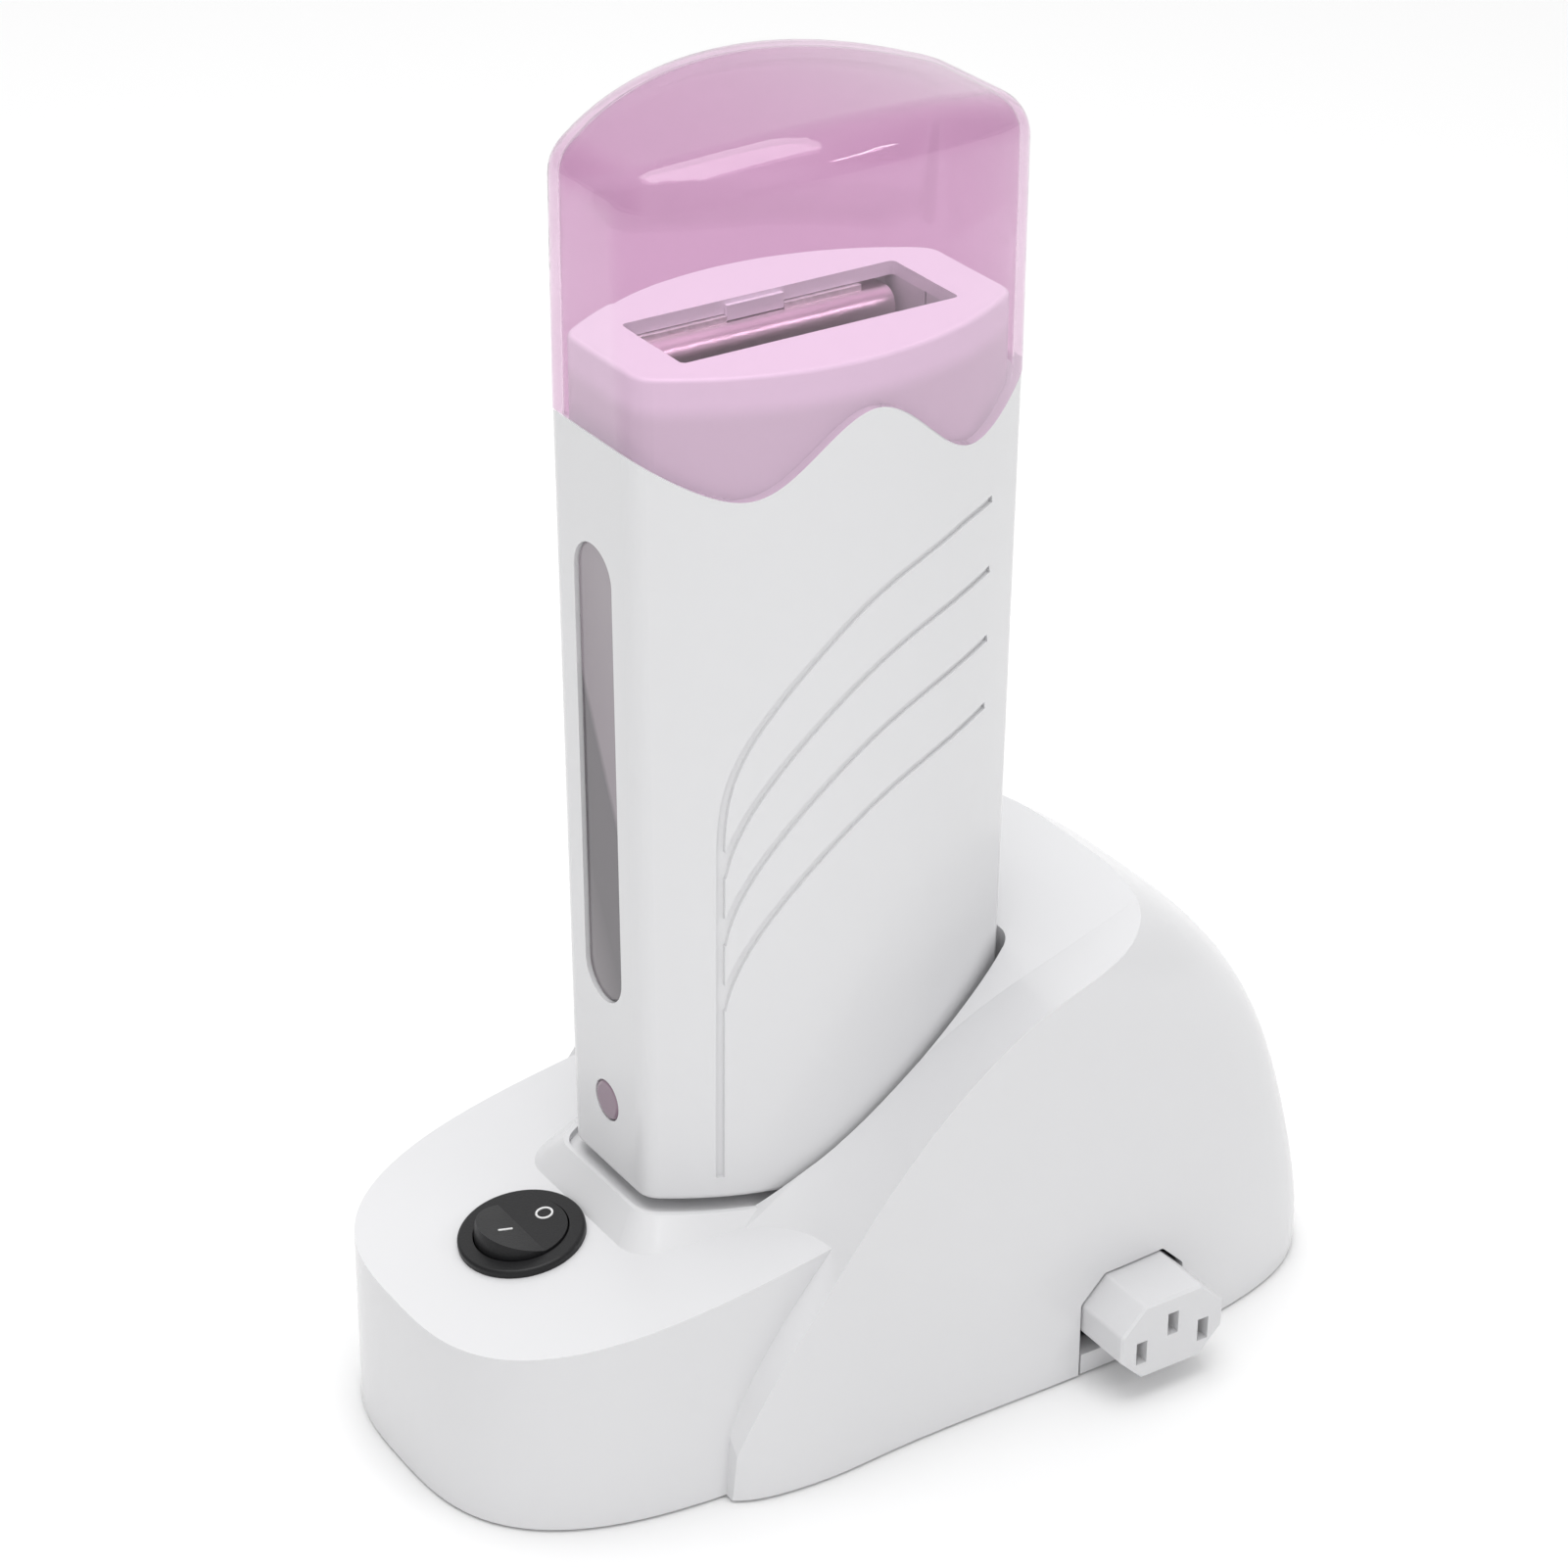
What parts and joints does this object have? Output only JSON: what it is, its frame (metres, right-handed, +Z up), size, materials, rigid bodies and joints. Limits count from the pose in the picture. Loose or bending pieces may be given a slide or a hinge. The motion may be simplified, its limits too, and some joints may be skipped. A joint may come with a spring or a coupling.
{
  "type": "wax cartridge warmer",
  "caption": "Hand-held roll-on wax cartridge heater with a translucent lift-off cap, standing in a mains docking base with a rocker switch and a side outlet.",
  "frame": {"origin": "point on the floor under the middle of the handset, where the standing_point mount is", "axes": "+Z up; -Y towards the switch end; +X towards the side outlet; X = 0 is the plane of symmetry of the casing"},
  "size_m": [0.103, 0.1845, 0.244],
  "materials": {
    "white_gloss": "polished white ABS",
    "white_matte": "fine-textured white moulding",
    "grey_rubber": "matt",
    "steel": "plain zinc",
    "black_plastic": "satin black",
    "brass": "plain contact brass",
    "wire_cover": "PVC insulation",
    "smoky_window": "smoky translucent, polished",
    "rose_lens": "translucent, polished",
    "led_red": "clear red",
    "green_board": "solder mask",
    "aluminium": "extruded, sawn end",
    "ptc_ceramic": "wrapped ceramic",
    "pink_cap": "translucent pink, polished"
  },
  "bodies": {
    "base": {"base_shell": "white_gloss", "base_cover": "white_matte", "rubber_feet": "grey_rubber", "cover_screws": "steel", "switch_body": "black_plastic", "switch_terminals": "brass", "dock_connector": "black_plastic", "dock_pins": "brass", "outlet_body": "white_matte", "outlet_contacts": "brass", "inlet_pins": "brass", "inlet_body": "black_plastic", "mains_wires": "wire_cover"},
    "rocker": {"switch_rocker": "black_plastic"},
    "handset": {"handset_shell_right": "white_gloss", "handset_shell_left": "white_gloss", "cartridge_shaft": "white_matte", "handset_screws": "steel", "level_window": "smoky_window", "indicator_lens": "rose_lens", "indicator_led": "led_red", "control_board": "green_board", "heater_plate_far": "aluminium", "heater_plate_near": "aluminium", "chamber_floor": "white_matte", "ptc_elements": "ptc_ceramic", "thermostat": "black_plastic", "contact_socket": "black_plastic", "contact_blades": "brass", "heater_leads": "wire_cover"},
    "cap": {"cap": "pink_cap"}
  },
  "joints": [
    {"name": "rocker_tilt", "type": "hinge", "parent": "base", "child": "rocker", "pos_m": [0, -0.05604, 0.04019], "axis": [1, 0, 0], "range_deg": [0, 22]},
    {"name": "handset_lift", "type": "slide", "parent": "base", "child": "handset", "axis": [0, 0, 1], "range_m": [0, 0.12]},
    {"name": "cap_lift", "type": "slide", "parent": "handset", "child": "cap", "axis": [0, 0, 1], "range_m": [0, 0.06]}
  ]
}
